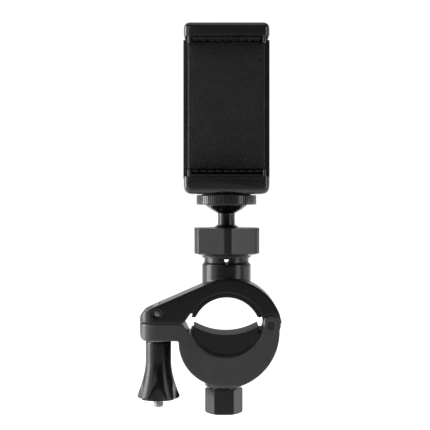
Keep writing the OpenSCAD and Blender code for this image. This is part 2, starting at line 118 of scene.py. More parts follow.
def makeLights():
    target = np.array(lampTarget)
    for name, place, size, power in lights:
        data = bpy.data.lights.new(name, "AREA")
        data.shape, data.size, data.size_y, data.energy = "RECTANGLE", *size, power
        lamp = bpy.data.objects.new(name, data)
        lamp.location = place
        toward = target - np.array(place)
        lamp.rotation_euler = Vector(toward).to_track_quat("-Z", "Y").to_euler()
        bpy.context.scene.collection.objects.link(lamp)


# Shader maths

class Wire:
    # A socket that takes part in sums: each sign adds its own Math node
    def __init__(self, tree, socket):
        self.tree, self.socket = tree, socket

    def join(self, operation, first, second):
        made = self.tree.nodes.new("ShaderNodeMath")
        made.operation = operation
        for slot, value in zip(made.inputs, (first, second)):
            if isinstance(value, Wire):
                self.tree.links.new(value.socket, slot)
            else:
                slot.default_value = value
        return Wire(self.tree, made.outputs[0])

    def __add__(self, other):
        return self.join("ADD", self, other)

    def __radd__(self, other):
        return self.join("ADD", other, self)

    def __sub__(self, other):
        return self.join("SUBTRACT", self, other)

    def __rsub__(self, other):
        return self.join("SUBTRACT", other, self)

    def __mul__(self, other):
        return self.join("MULTIPLY", self, other)

    def __rmul__(self, other):
        return self.join("MULTIPLY", other, self)


class Graph:
    # A node tree; every node that is not part of a sum is made by its one method
    def __init__(self, tree):
        self.tree = tree

    def node(self, kind, settings=None, sockets=None, out=0):
        made = self.tree.nodes.new("ShaderNode" + kind)
        for key, value in (settings or {}).items():
            setattr(made, key, value)
        for key, value in (sockets or {}).items():
            self.feed(made.inputs[key], value)
        return Wire(self.tree, made.outputs[out])

    def feed(self, socket, value):
        if isinstance(value, Wire):
            self.tree.links.new(value.socket, socket)
        else:
            socket.default_value = value


class Finish(Graph):
    # A material under construction, round one Principled shader
    def __init__(self, name):
        self.material = bpy.data.materials.new(name)
        self.material.use_nodes = True
        super().__init__(self.material.node_tree)
        self.shader = self.tree.nodes["Principled BSDF"]
        self.place = self.node("TexCoord", out="Object")

    def give(self, **values):
        for key, value in values.items():
            self.feed(self.shader.inputs[key.replace("_", " ")], value)

    def noise(self, size, detail=3, stretch=(1, 1, 1)):
        # size is that of one blotch, in metres
        seat = self.node("Mapping", {}, {"Vector": self.place, "Scale": stretch}, "Vector")
        values = {"Vector": seat, "Scale": 1 / size, "Detail": detail, "Roughness": 0.55}
        return self.node("TexNoise", {}, values, "Fac")

    def tint(self, amount, first, second):
        # A Mix node's two colours are its sockets 6 and 7, and the mixed colour is its output 2
        values = {0: amount, 6: (*first, 1), 7: (*second, 1)}
        return self.node("Mix", {"data_type": "RGBA"}, values, 2)

    def relief(self, height, depth):
        return self.node("Bump", {}, {"Height": height, "Distance": depth, "Strength": 1.0}, "Normal")


def shade(colour, times):
    return tuple(c * times for c in colour)


moulded = {"cloud": 9 * mm, "grain": 0.25 * mm, "depth": 0.012 * mm, "dark": 0.75, "light": 1.4}


def mouldedPlastic(name, colour, rough):
    finish = Finish(name)
    cloud = finish.noise(moulded["cloud"], 4)
    fine = finish.noise(moulded["grain"], 2)
    finish.give(
        Base_Color=finish.tint(cloud, shade(colour, moulded["dark"]), shade(colour, moulded["light"])),
        Roughness=rough - 0.05 + 0.06 * cloud + 0.05 * fine,
        Normal=finish.relief(fine, moulded["depth"]),
        Specular_IOR_Level=0.5,
    )
    return finish.material


polished = {"wave": 8 * mm, "haze": 2.2 * mm, "depth": 0.006 * mm, "light": 1.5}


def polishedPlastic(name, colour, rough, coat):
    # Glossy moulding with the faint waviness of a cooled skin
    finish = Finish(name)
    wave = finish.noise(polished["wave"], 1)
    haze = finish.noise(polished["haze"], 5)
    finish.give(
        Base_Color=finish.tint(haze, colour, shade(colour, polished["light"])),
        Roughness=rough - 0.04 + 0.1 * haze,
        Normal=finish.relief(wave, polished["depth"]),
        Coat_Weight=coat,
        Coat_Roughness=0.08,
    )
    return finish.material


matt = {"cloud": 5 * mm, "grain": 0.18 * mm, "depth": 0.03 * mm, "chalk": 1.9}


def mattRubber(name, colour, rough):
    finish = Finish(name)
    cloud = finish.noise(matt["cloud"], 5)
    fine = finish.noise(matt["grain"], 3)
    finish.give(
        Base_Color=finish.tint(cloud * cloud, colour, shade(colour, matt["chalk"])),
        Roughness=rough - 0.06 + 0.1 * cloud,
        Normal=finish.relief(fine, matt["depth"]),
        Specular_IOR_Level=0.35,
    )
    return finish.material


leather = {"cell": 1.3 * mm, "crease": 0.25, "pore": 0.2 * mm, "patch": 4 * mm, "speckle": 0.8 * mm,
           "speckleFrom": 0.4, "speckleTo": 0.62, "depth": 0.22 * mm, "light": 7}


def grainedPadding(name, colour):
    # Leather grain: rounded cells with creases between them, over fine pores
    finish = Finish(name)
    patch = finish.noise(leather["patch"], 2)
    spacing = {"Vector": finish.place, "Scale": 1 / leather["cell"]}
    cells = finish.node("TexVoronoi", {"feature": "DISTANCE_TO_EDGE"}, spacing, "Distance")
    fold = {"Value": cells, "From Min": 0.0, "From Max": leather["crease"]}
    crease = finish.node("MapRange", {}, fold, "Result")
    pores = finish.noise(leather["pore"], 3)
    height = crease * 0.75 + pores * 0.25
    speckle = {"Value": finish.noise(leather["speckle"], 4),
               "From Min": leather["speckleFrom"], "From Max": leather["speckleTo"]}
    grain = finish.node("MapRange", {}, speckle, "Result")
    # Random speckle and patches of tone, times painted shade that darkens the creases between the cells
    speckleAndCreaseShade = grain * (0.5 + 0.5 * crease) * (0.5 + 0.5 * patch)
    finish.give(
        Base_Color=finish.tint(speckleAndCreaseShade, colour, shade(colour, leather["light"])),
        Roughness=0.62 - 0.12 * height,
        Normal=finish.relief(height, leather["depth"]),
        Specular_IOR_Level=0.45,
    )
    return finish.material


drawn = {"line": 0.12 * mm, "stretch": (1, 1, 0.06), "cloud": 4 * mm, "depth": 0.008 * mm, "dark": 0.8}


def plainMetal(name, colour, rough):
    # Drawn metal: its noise is stretched along z, which leaves fine upright lines
    finish = Finish(name)
    lines = finish.noise(drawn["line"], 3, drawn["stretch"])
    cloud = finish.noise(drawn["cloud"], 4)
    finish.give(
        Base_Color=finish.tint(cloud, shade(colour, drawn["dark"]), colour),
        Roughness=rough - 0.08 + 0.12 * lines + 0.08 * cloud,
        Metallic=1.0,
        Normal=finish.relief(lines, drawn["depth"]),
    )
    return finish.material


def makeRoom():
    # White behind the object, dark where it faces, and plain white for the camera
    world = bpy.data.worlds.new("room")
    bpy.context.scene.world = world
    world.use_nodes = True
    room = Graph(world.node_tree)
    back = room.tree.nodes["Background"]
    look = room.node("TexCoord", out="Generated")
    levels = {
        "Value": room.node("SeparateXYZ", {}, {"Vector": look}, "Y"),
        "From Min": studio["turnFrom"], "From Max": studio["turnTo"],
        "To Min": studio["ahead"], "To Max": studio["behind"],
    }
    level = room.node("MapRange", {"interpolation_type": "SMOOTHSTEP"}, levels, "Result")
    seen = room.node("LightPath", out="Is Camera Ray")
    room.feed(back.inputs["Strength"], seen * studio["seenWhite"] + (1 - seen) * level)
    room.feed(back.inputs["Color"], (1, 1, 1, 1))


def makeFloor():
    half = studio["floorHalf"]
    low = cadBox[0][2] - studio["floorBelow"]
    mesh = bpy.data.meshes.new("floor")
    corners = [(-half, -half, low), (half, -half, low), (half, half, low), (-half, half, low)]
    mesh.from_pydata(corners, [], [(0, 1, 2, 3)])
    floor = bpy.data.objects.new("floor", mesh)
    bpy.context.scene.collection.objects.link(floor)
    finish = Finish("paleFloor")
    # The floor's light on the object fades out towards the side that it faces, and the floor itself
    # looks evenly pale from everywhere
    near, far = studio["glowFrom"], studio["glowTo"]
    split = finish.node("SeparateXYZ", {}, {"Vector": finish.place}, "Y")
    glow = finish.node("MapRange", {}, {"Value": split, "From Min": near, "From Max": far}, "Result")
    seen = finish.node("LightPath", out="Is Camera Ray")
    glow = seen + (1 - seen) * glow
    finish.give(
        Base_Color=(*studio["floorColour"], 1),
        Roughness=0.9,
        Emission_Color=finish.tint(glow, (0, 0, 0), (1, 1, 1)),
        Emission_Strength=studio["floorGlow"],
    )
    mesh.materials.append(finish.material)


# Shapes

sharpFrom = 38              # an edge that bends by more degrees than this stays sharp
double = 1e-6               # points nearer than this are one
leastRound = 0.05 * mm


def gridFaces(rows, columns, closeRows, closeColumns, start=0):
    # Quads between neighbours of a grid whose point (i, j) is number start + i * columns + j
    i = np.arange(rows if closeRows else rows - 1)[:, None]
    j = np.arange(columns if closeColumns else columns - 1)[None, :]
    nextI, nextJ = (i + 1) % rows, (j + 1) % columns
    corners = [i * columns + j, i * columns + nextJ, nextI * columns + nextJ, nextI * columns + j]
    return start + np.stack([np.broadcast_to(c, (i.size, j.size)) for c in corners], -1).reshape(-1, 4)


def addObject(name, points, faces, sharp=sharpFrom):
    mesh = bpy.data.meshes.new(name)
    mesh.from_pydata(np.asarray(points).reshape(-1, 3).tolist(), [], faces)
    return settle(bpy.data.objects.new(name, mesh), sharp)


def settle(thing, sharp=sharpFrom):
    # Merges doubles, turns the faces outwards and shades smooth below the sharp angle
    mesh = thing.data
    work = bmesh.new()
    work.from_mesh(mesh)
    bmesh.ops.remove_doubles(work, verts=work.verts, dist=double)
    bmesh.ops.dissolve_degenerate(work, edges=work.edges, dist=double)
    bmesh.ops.recalc_face_normals(work, faces=work.faces)
    work.to_mesh(mesh)
    work.free()
    mesh.shade_smooth()
    mesh.set_sharp_from_angle(angle=math.radians(sharp))
    if thing.name not in bpy.context.scene.collection.objects:
        bpy.context.scene.collection.objects.link(thing)
    return thing


def rounded(corners, radius, steps=6):
    # Each corner of a closed line becomes the quadratic curve
    # (1-t)^2 start + 2t(1-t) corner + t^2 end, whose ends lie one radius from the corner,
    # or a little less than half a side where the side is too short for that
    corners = np.array(corners, float)
    radius = np.broadcast_to(np.array(radius, float), (len(corners),))
    sides = [np.roll(corners, 1, 0) - corners, np.roll(corners, -1, 0) - corners]
    lengths = [np.maximum(np.linalg.norm(s, axis=1), 1e-12) for s in sides]
    reach = np.minimum(radius, 0.48 * np.minimum(*lengths))
    start, end = [corners + s / n[:, None] * reach[:, None] for s, n in zip(sides, lengths)]
    t = np.linspace(0, 1, steps + 1)[None, :, None]
    curve = (1 - t) ** 2 * start[:, None] + 2 * t * (1 - t) * corners[:, None] + t**2 * end[:, None]
    return curve.reshape(-1, 2)


def lay(u, v, along, axis):
    # An outline's (u, v) and its place along an axis, as x, y, z
    order = {"x": (along, u, v), "y": (u, along, v), "z": (u, v, along)}[axis]
    return np.stack(np.broadcast_arrays(*order), -1)


def moved(corners, inset, share=1.0):
    # Every side of a closed line moves inwards by its share of inset. Where sides with the inward
    # normals m and n and the insets i and j meet, the corner p goes to
    # p + (i + j) (m + n) / (2 + 2 m.n) + (j - i) (n - m) / (2 - 2 m.n)
    area = np.sum(corners[:, 0] * np.roll(corners[:, 1], -1) - np.roll(corners[:, 0], -1) * corners[:, 1])
    side = np.roll(corners, -1, 0) - corners
    side /= np.maximum(np.linalg.norm(side, axis=1), 1e-12)[:, None]
    after = np.stack([-side[:, 1], side[:, 0]], -1) * np.sign(area)
    before = np.roll(after, 1, 0)
    along = np.sum(after * before, 1)[:, None]
    here = inset * np.broadcast_to(np.array(share, float), (len(corners),))[:, None]
    last = np.roll(here, 1, 0)
    even = (here + last) * (after + before) / np.maximum(2 + 2 * along, 0.6)
    odd = (here - last) * (after - before) / np.maximum(2 - 2 * along, 1e-6)
    return corners + even + odd


def slab(name, corners, radii, low, high, edge, axis="y", steps=4, turns=6, sharp=sharpFrom,
         share=1.0):
    # A flat solid with rounded corners and rims. Ring by ring the outline lies inwards by
    # edge (1 - sin t), at the depth edge (1 - cos t) from the face, for t from 0 to a quarter turn
    corners = np.array(corners, float)
    radii = np.broadcast_to(np.array(radii, float), (len(corners),))
    t = np.linspace(0, np.pi / 2, steps + 1)
    inset, depth = edge * (1 - np.sin(t)), edge * (1 - np.cos(t))
    insets = np.concatenate([inset, inset[::-1]])
    depths = np.concatenate([low + depth, high - depth[::-1]])
    left = [np.maximum(radii - i, np.minimum(radii, leastRound)) for i in insets]
    rings = np.stack([rounded(moved(corners, i, share), r, turns) for i, r in zip(insets, left)])
    points = lay(rings[..., 0], rings[..., 1], depths[:, None], axis)
    rows, columns = points.shape[:2]
    faces = gridFaces(rows, columns, False, True).tolist()
    faces += [list(range(columns)), list(range((rows - 1) * columns, rows * columns))]
    return addObject(name, points, faces, sharp)


def turned(name, profile, centre, count=96, reach=None, axis="z", sharp=sharpFrom):
    # Point (i, j) is profile point i, (r, h), at the angle a = 2 pi j / count:
    # (cx + r' cos a, cy + r' sin a, h), where r' is reach(r, h, a), or r if there is no reach
    profile = np.array(profile, float)
    a = np.linspace(0, 2 * np.pi, count, endpoint=False)[None, :]
    r, h = profile[:, :1] + 0 * a, profile[:, 1:] + 0 * a
    r = r if reach is None else reach(r, h, a)
    points = lay(centre[0] + r * np.cos(a), centre[1] + r * np.sin(a), h, axis)
    rows, columns = points.shape[:2]
    onAxis = profile[0, 0] < 1e-7
    return addObject(name, points, gridFaces(rows, columns, not onAxis, True).tolist(), sharp)


def softMin(a, b, blur):
    # The smaller of two lengths, with the change between them rounded over blur
    h = np.clip(0.5 + 0.5 * (b - a) / blur, 0, 1)
    return b + (a - b) * h - blur * h * (1 - h)


def hexagon(a, halfFlats, firstCorner):
    # Distance from the middle of a hexagon to its side, at the angle a
    within = np.mod(a - math.radians(firstCorner), np.pi / 3) - np.pi / 6
    return halfFlats / np.cos(within)


def rectangle(left, foot, right, head):
    return [(left, foot), (right, foot), (right, head), (left, head)]


def box(name, low, high, edge):
    corners = rectangle(low[0], low[2], high[0], high[2])
    return slab(name, corners, edge, low[1], high[1], edge)


def bake(thing):
    # Puts the result of the modifiers into the mesh
    bpy.context.view_layer.update()
    shown = thing.evaluated_get(bpy.context.evaluated_depsgraph_get())
    mesh = bpy.data.meshes.new_from_object(shown)
    thing.modifiers.clear()
    thing.data = mesh
    return thing


def combine(base, tools, operation="UNION", sharp=sharpFrom):
    # Joins closed solids into one skin, or cuts the tools out of it
    for tool in tools:
        change = base.modifiers.new(tool.name, "BOOLEAN")
        change.operation, change.solver, change.object = operation, "EXACT", tool
        bake(base)
        bpy.data.objects.remove(tool)
    base.data.shade_smooth()
    base.data.set_sharp_from_angle(angle=math.radians(sharp))
    return base


def softened(node, name, cell, rounds):
    # A moulded copy of a CAD node: skinned again at an even cell size, then relaxed,
    # which rounds every edge and every inside corner a little
    thing = settle(bpy.data.objects.new(name, nodes[node].data.copy()))
    skin = thing.modifiers.new("skin", "REMESH")
    skin.mode, skin.voxel_size, skin.use_smooth_shade = "VOXEL", cell, True
    ease = thing.modifiers.new("ease", "SMOOTH")
    ease.factor, ease.iterations = 0.5, rounds
    return bake(thing)


def placed(thing, body, material, slot, *stoodFor):
    thing.data.materials.clear()
    thing.data.materials.append(material)
    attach(thing, body)
    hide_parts(*stoodFor)
    return thing


def ends(node):
    # A node's lowest and highest x, y and z
    return [np.array(p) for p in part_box(node)]


def middleOf(node):
    return sum(ends(node)) / 2


# Finishes

clampPlastic = mouldedPlastic("clampPlastic", (0.0065, 0.0065, 0.007), 0.25)
# The lower arm is the clamp's plastic with painted light: its base colour is made lighter to stand in for
# the brighter light that its front face catches
lowerPlasticPaintedLight = mouldedPlastic("lowerPlasticPaintedLight", (0.050, 0.050, 0.051), 0.32)
knobPlastic = mouldedPlastic("knobPlastic", (0.006, 0.006, 0.0065), 0.25)
nutPlastic = mouldedPlastic("nutPlastic", (0.017, 0.017, 0.018), 0.28)
discPlastic = polishedPlastic("discPlastic", (0.022, 0.022, 0.0225), 0.32, 0.6)
ballPlastic = mouldedPlastic("ballPlastic", (0.003, 0.003, 0.0033), 0.22)
clipGloss = polishedPlastic("clipGloss", (0.014, 0.014, 0.0145), 0.24, 0.5)
gripRubber = mattRubber("gripRubber", (0.006, 0.006, 0.006), 0.55)
jawRubber = mattRubber("jawRubber", (0.010, 0.010, 0.010), 0.5)
washerRubber = mattRubber("washerRubber", (0.009, 0.009, 0.009), 0.6)
paddingSkin = grainedPadding("paddingSkin", (0.0022, 0.0022, 0.0022))
brightSteel = plainMetal("brightSteel", (0.62, 0.62, 0.63), 0.30)
pinSteel = plainMetal("pinSteel", (0.34, 0.34, 0.35), 0.32)
blackSteel = plainMetal("blackSteel", (0.09, 0.09, 0.095), 0.38)
insertBrass = plainMetal("insertBrass", (0.70, 0.53, 0.25), 0.34)
ringNylon = mouldedPlastic("ringNylon", (0.45, 0.44, 0.41), 0.5)
print("finishes ready")


# The clamp

clampShape = {"cell": 0.34 * mm, "rounds": 7}


def makeArms():
    for node, name, body, plastic in (
        ("clamp_upper_arm", "upperArm", "clamp_upper", clampPlastic),
        ("clamp_lower_arm", "lowerArm", "clamp_lower", lowerPlasticPaintedLight),
    ):
        arm = softened(node, name, clampShape["cell"], clampShape["rounds"])
        placed(arm, body, plastic, "clamp_plastic", node)


rubber = {"cell": 0.3 * mm, "rounds": 6}


def makeClampRubber():
    for node, name, body in (
        ("upper_grip_pad", "upperGripPad", "clamp_upper"),
        ("lower_grip_liner", "lowerGripLiner", "clamp_lower"),
        ("saddle_pad", "saddlePad", "clamp_lower"),
    ):
        pad = softened(node, name, rubber["cell"], rubber["rounds"])
        placed(pad, body, gripRubber, "grip_rubber", node)


post = {"halfFlats": 7.578 * mm, "bore": 4.4 * mm, "boreDepth": 10 * mm, "collar": 7.5 * mm,
        "neckDown": 0.9 * mm, "spigot": 5 * mm, "drill": 0.4 * mm, "mouth": 0.3 * mm, "rim": 0.9 * mm,
        "shoulder": 0.5 * mm, "fine": 0.15 * mm, "edge": 0.35 * mm, "around": 240}


def makePost():
    low, high = ends("hex_post")
    top = ends("clamp_lower_arm")[0][2] - post["neckDown"]
    roof = low[2] + post["boreDepth"]
    corner = post["halfFlats"] / math.cos(math.pi / 6)
    profile = rounded([
        (post["bore"], low[2]), (corner, low[2]), (corner, top), (post["collar"], top),
        (post["collar"], top + post["neckDown"]), (post["spigot"], top + post["neckDown"]),
        (post["spigot"], high[2]), (post["drill"], high[2]), (post["drill"], roof), (post["bore"], roof),
    ], [post["mouth"], post["rim"], post["shoulder"]] + [post["fine"]] * 7, 5)

    def sides(r, h, a):
        return softMin(r, hexagon(a, post["halfFlats"], 0), post["edge"])

    piece = turned("hexPost", profile, middleOf("hex_post")[:2], post["around"], sides)
    placed(piece, "clamp_lower", clampPlastic, "clamp_plastic", "hex_post")


# The swing bolt and its knob

bolt = {"radius": 2.4 * mm, "pitch": 0.8 * mm, "thread": 0.38 * mm, "steep": 1.35, "crest": 0.15,
        "chamfer": 0.7 * mm, "eye": 3.5 * mm, "eyeHalf": 2.5 * mm, "eyeRim": 0.3 * mm,
        "pinHole": 1.56 * mm, "shankTop": 2.3 * mm, "plain": 6 * mm, "perTurn": 10,
        "around": 40, "eyeAround": 48, "sharp": 50}


def makeBolt():
    low, high = ends("swing_bolt")
    middle = middleOf("swing_bolt")
    pivot = high[2] - bolt["eye"]
    top = pivot - bolt["shankTop"]
    steps = int((top - low[2]) / bolt["pitch"] * bolt["perTurn"])
    h = np.linspace(low[2], top, steps)
    profile = np.concatenate([[(0, low[2])], np.stack([0 * h + bolt["radius"], h], -1), [(0, top)]])

    # r' = r - thread * groove, where groove is 1 at the root and 0 on the crest, and climbs
    # one pitch a turn; it fades to nothing under the eye, and the end is chamfered
    def thread(r, height, a):
        phase = np.mod((height - low[2]) / bolt["pitch"] - a / (2 * np.pi), 1)
        groove = np.clip(np.abs(2 * phase - 1) * bolt["steep"] - bolt["crest"], 0, 1)
        fade = np.clip((top - bolt["plain"] - height) / bolt["pitch"], 0, 1)
        cut = r - bolt["thread"] * groove * fade
        cone = bolt["radius"] - bolt["chamfer"] + (height - low[2])
        return np.minimum(cut, np.where(r > 0, cone, 0))

    shank = turned("swingBolt", profile, middle[:2], bolt["around"], thread, sharp=bolt["sharp"])
    ring = rounded([
        (bolt["pinHole"], -bolt["eyeHalf"]), (bolt["eye"], -bolt["eyeHalf"]),
        (bolt["eye"], bolt["eyeHalf"]), (bolt["pinHole"], bolt["eyeHalf"]),
    ], bolt["eyeRim"])
    eye = turned("boltEye", ring, (middle[0], pivot), bolt["eyeAround"], axis="y")
    whole = combine(shank, [eye], sharp=bolt["sharp"])
    placed(whole, "bolt", brightSteel, "bright_steel", "swing_bolt")


knob = {"neck": 5.9 * mm, "foot": 9.9 * mm, "straight": 9.2 * mm, "fluteOut": 14.4 * mm, "flute": 6.6 * mm,
        "lobes": 5, "hole": 2.6 * mm, "recess": 4.4 * mm, "recessDepth": 10 * mm, "lip": 1.2 * mm,
        "curve": 1.7, "crown": 0.8 * mm, "sink": 0.8 * mm, "dish": 0.5 * mm, "dishFrom": 0.55,
        "dishTo": 0.62, "fluteFrom": 0.6, "edge": 0.7 * mm, "around": 200, "sharp": 50}


def makeKnob():
    low, high = ends("knob")
    t = np.linspace(0, 1, 26)
    flareTop = high[2] - knob["straight"]
    flareFoot = low[2] + knob["lip"]
    # The flare's radius falls from foot to neck as 1 - (1 - t)^curve, t being the share of its height
    flare = np.stack([
        knob["foot"] - (knob["foot"] - knob["neck"]) * (1 - (1 - t) ** knob["curve"]),
        flareFoot + (flareTop - flareFoot) * t,
    ], -1)
    neck = np.linspace(flareTop, high[2] - knob["crown"], 8)[1:]
    turn = np.linspace(0, np.pi / 2, 7)
    rim = np.stack([
        knob["foot"] - knob["lip"] * (1 - np.sin(turn)), flareFoot - knob["lip"] * np.cos(turn)
    ], -1)
    crown = np.stack([
        knob["neck"] - knob["crown"] * (1 - np.cos(turn)), high[2] - knob["crown"] * (1 - np.sin(turn))
    ], -1)
    inner = np.array([
        (knob["recess"], high[2]), (knob["recess"], high[2] - knob["recessDepth"]),
        (knob["hole"], high[2] - knob["recessDepth"]), (knob["hole"], low[2] + knob["sink"]),
        (knob["hole"] + knob["sink"], low[2] + knob["dish"]),
        (knob["foot"] * knob["dishFrom"], low[2] + knob["dish"]), (knob["foot"] * knob["dishTo"], low[2]),
    ])
    profile = np.concatenate([rim, flare[1:], np.stack([0 * neck + knob["neck"], neck], -1), crown, inner])

    # A flute is a round bar beside the knob: at the angle f from the middle of a flute its near side
    # lies at d cos f - sqrt(R^2 - d^2 sin^2 f), and the knob ends at the smaller of that and r
    def flutes(r, h, a):
        sector = 2 * np.pi / knob["lobes"]
        f = np.mod(a + np.pi / 2 + sector / 2, sector) - sector / 2
        left = knob["flute"] ** 2 - (knob["fluteOut"] * np.sin(f)) ** 2
        near = knob["fluteOut"] * np.cos(f) - np.sqrt(np.maximum(left, 0))
        fluted = softMin(r, near + 0 * r, knob["edge"])
        return np.where(r > knob["foot"] * knob["fluteFrom"], fluted, r)

    piece = turned("knob", profile, middleOf("knob")[:2], knob["around"], flutes, sharp=knob["sharp"])
    placed(piece, "knob", knobPlastic, "knob_plastic", "knob")


# The ball joint

ballAxis = (0, 0)           # where the joint's upright axis stands, in x and y
nut = {"halfFlats": 14.7 * mm, "cutCorner": 16.12 * mm, "firstCorner": -88, "bore": 10.36 * mm,
       "mouth": 7.4 * mm, "bevelOut": 0.9 * mm, "bevelDown": 0.8 * mm, "ring": 9.1 * mm,
       "ringGap": 0.2 * mm, "ledge": 1.2 * mm, "skirt": 11.2 * mm, "skirtUp": 0.8 * mm,
       "cone": 2.2 * mm, "beyond": 0.5 * mm, "cornerEdge": 0.25 * mm, "rimEdge": 0.5 * mm,
       "around": 360,
       "fillets": np.array([0.2, 0.3, 0.2, 0.6, 0.9, 0.4, 0.2, 0.1, 0.1, 0.1, 0.1]) * mm}


def makeNut():
    low, high = ends("lock_nut")
    outer = nut["cutCorner"] + nut["beyond"]
    ringLow = ends("ball_retainer_ring")[0][2] - nut["ringGap"]
    profile = rounded([
        (nut["bore"], low[2]), (nut["skirt"], low[2]), (nut["skirt"], low[2] + nut["skirtUp"]),
        (outer, low[2] + nut["cone"]), (outer, high[2]), (nut["mouth"] + nut["bevelOut"], high[2]),
        (nut["mouth"], high[2] - nut["bevelDown"]), (nut["mouth"], high[2] - nut["ledge"]),
        (nut["ring"], high[2] - nut["ledge"]), (nut["ring"], ringLow), (nut["bore"], ringLow),
    ], nut["fillets"], 5)

    def flats(r, h, a):
        side = hexagon(a, nut["halfFlats"], nut["firstCorner"])
        cut = hexagon(a, nut["cutCorner"], nut["firstCorner"] + 30)
        return softMin(r, softMin(side, cut, nut["cornerEdge"]), nut["rimEdge"])

    piece = turned("lockNut", profile, ballAxis, nut["around"], flats)
    placed(piece, "nut", nutPlastic, "nut_plastic", "lock_nut")


stem = {"ball": 8.5 * mm, "centre": 40.5 * mm, "radius": 3.9 * mm, "waist": 0.08 * mm,
        "coneFoot": 53.3 * mm, "bowlOut": 3.2 * mm, "bowlUp": 1.7 * mm, "flange": 9.4 * mm,
        "flangeHigh": 0.4 * mm, "stud": 3.175 * mm, "studDeep": 1 * mm, "around": 96,
        "fillets": np.array([0, 2, 0.5, 0.15, 0.1, 0, 0]) * mm}


def makeBallStem():
    top = ends("ball_stem")[1][2]
    join = math.asin(stem["radius"] / stem["ball"])
    a = np.linspace(-np.pi / 2, np.pi / 2 - join, 40)
    ball = np.stack([stem["ball"] * np.cos(a), stem["centre"] + stem["ball"] * np.sin(a)], -1)
    ball[0, 0] = 0
    shoulder = stem["centre"] + stem["ball"] * math.cos(join)
    # Between the ball and the cone the neck thins by waist sin(pi t), for t from 0 to 1
    t = np.linspace(0, 1, 14)[1:-1]
    waist = stem["radius"] - stem["waist"] * np.sin(np.pi * t)
    neck = np.stack([waist, shoulder + (stem["coneFoot"] - shoulder) * t], -1)
    cone = rounded([
        (stem["radius"], stem["coneFoot"]),
        (stem["radius"] + stem["bowlOut"], stem["coneFoot"] + stem["bowlUp"]),
        (stem["flange"], top - stem["flangeHigh"]), (stem["flange"], top), (stem["stud"], top),
        (stem["stud"], top - stem["studDeep"]), (0, top - stem["studDeep"]),
    ], stem["fillets"], 5)
    piece = turned("ballStem", np.concatenate([ball, neck, cone]), ballAxis, stem["around"])
    placed(piece, "ball", ballPlastic, "ball_plastic", "ball_stem")


disc = {"knurls": 76, "perKnurl": 12, "depth": 0.42 * mm, "groove": 0.5, "bevel": 0.28 * mm,
        "edge": 0.15 * mm, "hole": 3.175 * mm, "step": 11.6 * mm, "sharp": 25}


def makeDisc():
    low, high = ends("knurled_disc")
    radius = high[0]
    profile = rounded([
        (disc["hole"], low[2]), (radius - disc["bevel"], low[2]), (radius, low[2] + disc["bevel"]),
        (radius, high[2] - disc["bevel"]), (radius - disc["bevel"], high[2]), (disc["hole"], high[2]),
    ], disc["edge"], 4)

    # Narrow grooves between flat-topped knurls: the rim dips by depth (1 - |sin(n a / 2)| / groove),
    # where that is more than nothing, and less towards the middle of the disc
    def knurled(r, h, a):
        dip = np.clip(1 - np.abs(np.sin(a * disc["knurls"] / 2)) / disc["groove"], 0, 1)
        share = np.clip((r - disc["step"]) / (radius - disc["step"]), 0, 1)
        return r - disc["depth"] * dip * share

    around = disc["knurls"] * disc["perKnurl"]
    piece = turned("knurledDisc", profile, ballAxis, around, knurled, sharp=disc["sharp"])
    placed(piece, "ball", discPlastic, "nut_plastic", "knurled_disc")


discPad = {"hole": 3.3 * mm, "edge": 0.1 * mm, "gap": 0.02 * mm, "around": 96}


def makeDiscWasher():
    low, high = ends("disc_washer")
    top = high[2] - discPad["gap"]
    profile = rounded(rectangle(discPad["hole"], low[2], high[0], top), discPad["edge"], 4)
    piece = turned("discWasher", profile, ballAxis, discPad["around"])
    placed(piece, "ball", washerRubber, "washer_rubber", "disc_washer")


# The phone clip

clip = {"rim": 2.6 * mm, "lowCorner": 4.4 * mm, "highCorner": 4.0 * mm, "jawHeight": 8 * mm,
        "phoneCorner": 0.7 * mm, "phoneShare": 0.15, "wall": 1.6 * mm, "skin": 0.2 * mm,
        "lip": 0.65 * mm, "lipAt": 16.95 * mm, "lipHigh": 3 * mm, "lipBack": 1.5 * mm,
        "lipFront": 0.4 * mm, "lipEdge": 0.6 * mm, "lap": 1 * mm, "shellBack": 9.6 * mm,
        "hollowUp": 2 * mm, "hollowEdge": 0.3 * mm, "beyond": 5 * mm, "insideUp": 1.5 * mm,
        "socket": 5 * mm, "socketDeep": 7.2 * mm, "around": 64, "steps": 7, "turns": 9}


def jawBlock(name, low, high, upper):
    # One jaw: generous radii on its outer corners, tight ones beside the phone, and a rim
    # that is rounded less on the phone's side
    tight, less = [clip["phoneCorner"]] * 2, [clip["phoneShare"], 1]
    if upper:
        radii, share = tight + [clip["highCorner"]] * 2, less + [1, 1]
    else:
        radii, share = [clip["lowCorner"]] * 2 + tight, [1, 1] + less
    corners = rectangle(low[0], low[2], high[0], high[2])
    steps, turns = clip["steps"], clip["turns"]
    return slab(name, corners, radii, low[1], high[1], clip["rim"], steps=steps, turns=turns, share=share)


def jawLips(front, low, high):
    # The two raised ends between which the rubber strip lies
    made = []
    for side, word in ((-1, "Left"), (1, "Right")):
        x = side * clip["lipAt"]
        near = (x - clip["lip"], front + clip["lipFront"], low)
        far = (x + clip["lip"], -clip["lipBack"], high)
        made.append(box("lip" + word, near, far, clip["lipEdge"]))
    return made


inside = {"rail": 12 * mm, "railHalf": 0.6 * mm, "railFront": 2.9 * mm, "ear": 2 * mm, "earHalf": 0.4 * mm,
          "earBack": 7 * mm, "earHigh": 3 * mm, "stub": 2.1 * mm, "stubHole": 1.1 * mm, "screw": 15.5 * mm,
          "screwLow": 77 * mm, "screwHigh": 127 * mm, "bury": 0.4 * mm, "edge": 0.1 * mm,
          "topGap": 2 * mm, "around": 32}


